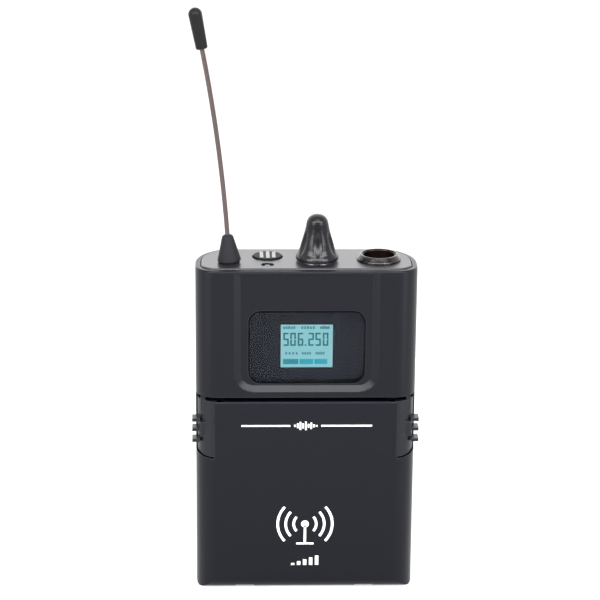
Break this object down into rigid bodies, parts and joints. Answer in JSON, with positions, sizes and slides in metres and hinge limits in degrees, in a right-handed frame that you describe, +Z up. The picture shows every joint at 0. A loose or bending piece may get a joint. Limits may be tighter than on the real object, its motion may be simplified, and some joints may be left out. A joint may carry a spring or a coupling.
{
  "type": "wireless bodypack transmitter",
  "caption": "Pocket-size wireless bodypack transmitter with whip antenna, level knob, backlit display, battery door with side latches and belt clip.",
  "frame": {"origin": "centre of the case's flat bottom face", "axes": "+Z up along the case and antenna, the display and the battery door face -Y, +X to the right seen from the front"},
  "size_m": [0.0676, 0.0319, 0.1753],
  "materials": {
    "case_black": "satin moulded",
    "plate_black": "fine satin paint",
    "control_black": "glossy moulded",
    "rubber_black": "matte rubber",
    "whip_steel": "bronze-grey coated spring steel",
    "lens_clear": "clear",
    "lcd": "backlit cyan",
    "guide_white": "milky white",
    "inner_black": "matte moulded",
    "board_green": "solder mask",
    "shield_tin": "tinned steel",
    "screw_steel": "zinc plated",
    "screw_black": "black oxide",
    "brass": "machined",
    "pot_case": "stamped",
    "socket_black": "gloss black",
    "contact_gold": "gold plated",
    "contact_nickel": "nickel plated",
    "cell_wrap": "printed foil wrap",
    "key_grey": "silicone",
    "led_clear": "clear domed",
    "clip_black": "black painted spring steel"
  },
  "bodies": {
    "case": {"front_shell": "case_black", "rear_shell": "case_black", "top_plate": "plate_black", "antenna_boot": "rubber_black", "antenna_cap": "rubber_black", "antenna_whip": "whip_steel", "antenna_stud": "brass", "antenna_nut": "brass", "display_lens": "lens_clear", "lcd_glass": "lcd", "light_guide": "guide_white", "lcd_holder": "inner_black", "display_board": "board_green", "display_screws": "screw_steel", "main_board": "board_green", "rf_shield": "shield_tin", "board_screws": "screw_steel", "board_connector": "inner_black", "mute_switch": "inner_black", "switch_board": "board_green", "status_led": "led_clear", "potentiometer": "pot_case", "pot_washer": "screw_steel", "pot_nut": "screw_steel", "socket_shell": "socket_black", "socket_nut": "socket_black", "socket_insulator": "inner_black", "socket_pins": "contact_gold", "battery_tray": "inner_black", "cell_left": "cell_wrap", "cell_right": "cell_wrap", "top_contacts": "contact_nickel", "bottom_contacts": "contact_nickel", "key_board": "board_green", "key_switches": "shield_tin", "door_hinge_pin": "screw_steel", "clip_foot": "clip_black", "clip_screws": "screw_black", "case_screws": "screw_black"},
    "door": {"battery_door": "case_black", "latch_spring_left": "screw_steel", "latch_spring_right": "screw_steel"},
    "latch_left": {"latch_left": "case_black"},
    "latch_right": {"latch_right": "case_black"},
    "mute_button": {"mute_button": "control_black"},
    "level_control": {"level_knob": "control_black", "pot_shaft": "pot_case"},
    "key_set": {"key_set": "key_grey"},
    "key_up": {"key_up": "key_grey"},
    "key_down": {"key_down": "key_grey"},
    "clip": {"clip_arm": "clip_black"}
  },
  "joints": [
    {"name": "door_hinge", "type": "hinge", "parent": "case", "child": "door", "pos_m": [0, -0.0085, 0.0035], "axis": [1, 0, 0], "range_deg": [0, 90]},
    {"name": "latch_left_slide", "type": "slide", "parent": "door", "child": "latch_left", "axis": [1, 0, 0], "range_m": [0, 0.001], "stiffness_N_per_m": 600, "springref_m": -0.0004, "deforming": ["latch_spring_left"]},
    {"name": "latch_right_slide", "type": "slide", "parent": "door", "child": "latch_right", "axis": [-1, 0, 0], "range_m": [0, 0.001], "stiffness_N_per_m": 600, "springref_m": -0.0004, "deforming": ["latch_spring_right"]},
    {"name": "mute_press", "type": "slide", "parent": "case", "child": "mute_button", "axis": [0, 0, -1], "range_m": [0, 0.0006], "stiffness_N_per_m": 600, "springref_m": -0.0004},
    {"name": "level_turn", "type": "hinge", "parent": "case", "child": "level_control", "pos_m": [0.0032, -0.0017, 0.1], "axis": [0, 0, 1], "range_deg": [-150, 150]},
    {"name": "key_set_press", "type": "slide", "parent": "case", "child": "key_set", "axis": [0, 1, 0], "range_m": [0, 0.0004], "stiffness_N_per_m": 600, "springref_m": -0.0004},
    {"name": "key_up_press", "type": "slide", "parent": "case", "child": "key_up", "axis": [0, 1, 0], "range_m": [0, 0.0004], "stiffness_N_per_m": 600, "springref_m": -0.0004},
    {"name": "key_down_press", "type": "slide", "parent": "case", "child": "key_down", "axis": [0, 1, 0], "range_m": [0, 0.0004], "stiffness_N_per_m": 600, "springref_m": -0.0004},
    {"name": "clip_flex", "type": "hinge", "parent": "case", "child": "clip", "pos_m": [0, 0.0152, 0.086], "axis": [1, 0, 0], "range_deg": [0, 8], "stiffness_Nm_per_rad": 0.8, "springref_deg": -5.73}
  ]
}
